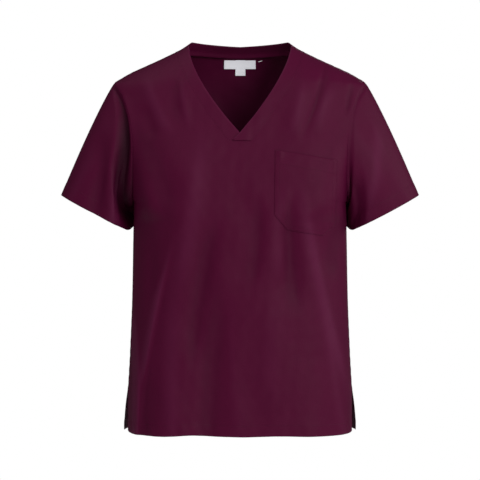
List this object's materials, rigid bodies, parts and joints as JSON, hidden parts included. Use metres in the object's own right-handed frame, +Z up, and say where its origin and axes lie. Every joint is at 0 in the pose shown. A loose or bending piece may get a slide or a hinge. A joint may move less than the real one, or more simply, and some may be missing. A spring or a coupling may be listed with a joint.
{
  "type": "short-sleeved v-neck scrub top",
  "caption": "Loose burgundy work top for hospital staff, with short set-in sleeves, a lapped V neckband, a chest patch pocket and side vents, filled out as if worn",
  "frame": {"origin": "Middle of the neck opening, level with the two peaks of the front neckband, in the plane of the shoulder seams, where the wearer's neck and shoulders carry the garment", "axes": "+X to the wearer's left, +Y to the wearer's back, +Z up; the front of the garment faces -Y"},
  "size_m": [0.6534, 0.2494, 0.7101],
  "materials": {
    "poplin": "matte burgundy poly-cotton poplin",
    "label": "white woven satin tape"
  },
  "bodies": {
    "root": {"front_panel": "poplin", "back_panel": "poplin", "sleeve_left": "poplin", "sleeve_right": "poplin", "neckband_back": "poplin", "neckband_front_left": "poplin", "neckband_front_right": "poplin", "chest_pocket": "poplin", "neck_label": "label", "size_tab": "label"}
  },
  "joints": []
}
